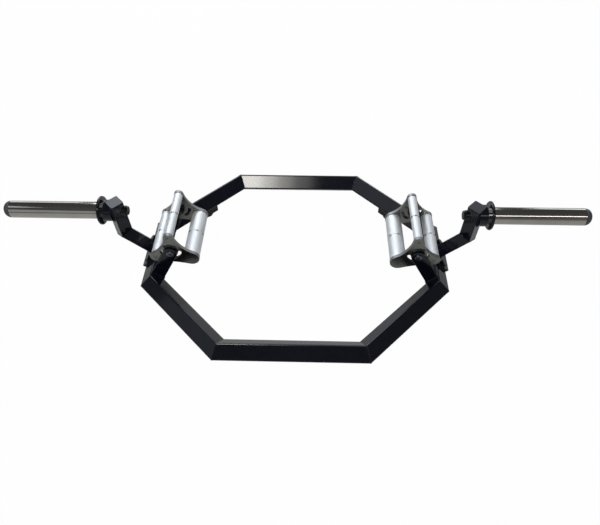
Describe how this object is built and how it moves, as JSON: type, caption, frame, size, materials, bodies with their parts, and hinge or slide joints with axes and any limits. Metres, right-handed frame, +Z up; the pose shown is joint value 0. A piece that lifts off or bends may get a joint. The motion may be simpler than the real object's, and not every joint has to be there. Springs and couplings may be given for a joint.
{
  "type": "trap bar",
  "caption": "Octagonal trap bar of square tube on edge, with raised spinning loading sleeves and turning handle cages that offer thin, medium and fat grips.",
  "frame": {"origin": "on the floor under the middle of the ring", "axes": "+X along the sleeves to the lifter's right, +Y to the rear of the ring, +Z up"},
  "size_m": [1.7006, 0.761, 0.2827],
  "materials": {
    "gloss_black_paint": "gloss black powder coat",
    "satin_dark_plate": "satin dark grey",
    "polished_chrome": "polished hard chrome",
    "satin_steel_grip": "satin with a fine knurl",
    "dark_fastener": "black oxide",
    "zinc_fastener": "zinc plated",
    "bearing_bronze": "sintered bronze",
    "black_rubber": "matte rubber",
    "black_plastic": "satin black"
  },
  "bodies": {
    "frame": {"front_tube": "gloss_black_paint", "rear_tube": "gloss_black_paint", "left_side_tube": "gloss_black_paint", "right_side_tube": "gloss_black_paint", "front_left_diagonal_tube": "gloss_black_paint", "front_right_diagonal_tube": "gloss_black_paint", "rear_left_diagonal_tube": "gloss_black_paint", "rear_right_diagonal_tube": "gloss_black_paint", "foot_saddles": "gloss_black_paint", "rubber_feet": "black_rubber", "foot_screws": "dark_fastener", "left_arm_base_plate": "gloss_black_paint", "left_arm_strut": "gloss_black_paint", "left_arm_upright": "gloss_black_paint", "left_arm_top_cap": "gloss_black_paint", "left_spindle_boss": "gloss_black_paint", "left_spindle": "dark_fastener", "left_front_lug": "gloss_black_paint", "left_rear_lug": "gloss_black_paint", "right_arm_base_plate": "gloss_black_paint", "right_arm_strut": "gloss_black_paint", "right_arm_upright": "gloss_black_paint", "right_arm_top_cap": "gloss_black_paint", "right_spindle_boss": "gloss_black_paint", "right_spindle": "dark_fastener", "right_front_lug": "gloss_black_paint", "right_rear_lug": "gloss_black_paint", "arm_bolts": "dark_fastener", "arm_nuts": "dark_fastener", "pivot_bolts": "dark_fastener", "pivot_nuts": "dark_fastener", "spindle_washers": "dark_fastener", "spindle_nuts": "dark_fastener", "pivot_washers": "zinc_fastener", "retaining_washers": "zinc_fastener", "retaining_screws": "zinc_fastener", "thrust_washers": "bearing_bronze"},
    "left_sleeve_body": {"left_sleeve": "polished_chrome", "left_sleeve_flange": "gloss_black_paint", "left_sleeve_bushes": "bearing_bronze", "left_sleeve_end_cap": "black_plastic"},
    "left_handle_body": {"left_handle_front_plate": "satin_dark_plate", "left_handle_rear_plate": "satin_dark_plate", "left_thin_grip": "satin_steel_grip", "left_medium_grip": "satin_steel_grip", "left_fat_grip": "satin_steel_grip", "left_grip_screws": "satin_dark_plate", "left_pivot_bushes": "black_plastic"},
    "right_sleeve_body": {"right_sleeve": "polished_chrome", "right_sleeve_flange": "gloss_black_paint", "right_sleeve_bushes": "bearing_bronze", "right_sleeve_end_cap": "black_plastic"},
    "right_handle_body": {"right_handle_front_plate": "satin_dark_plate", "right_handle_rear_plate": "satin_dark_plate", "right_thin_grip": "satin_steel_grip", "right_medium_grip": "satin_steel_grip", "right_fat_grip": "satin_steel_grip", "right_grip_screws": "satin_dark_plate", "right_pivot_bushes": "black_plastic"}
  },
  "joints": [
    {"name": "left_sleeve_spin", "type": "hinge", "parent": "frame", "child": "left_sleeve_body", "pos_m": [-0.52, 0, 0.24066], "axis": [1, 0, 0], "continuous": true},
    {"name": "right_sleeve_spin", "type": "hinge", "parent": "frame", "child": "right_sleeve_body", "pos_m": [0.52, 0, 0.24066], "axis": [1, 0, 0], "continuous": true},
    {"name": "left_handle_turn", "type": "hinge", "parent": "frame", "child": "left_handle_body", "pos_m": [-0.3595, 0, 0.16736], "axis": [0, 1, 0], "continuous": true},
    {"name": "right_handle_turn", "type": "hinge", "parent": "frame", "child": "right_handle_body", "pos_m": [0.3595, 0, 0.16736], "axis": [0, 1, 0], "continuous": true}
  ]
}
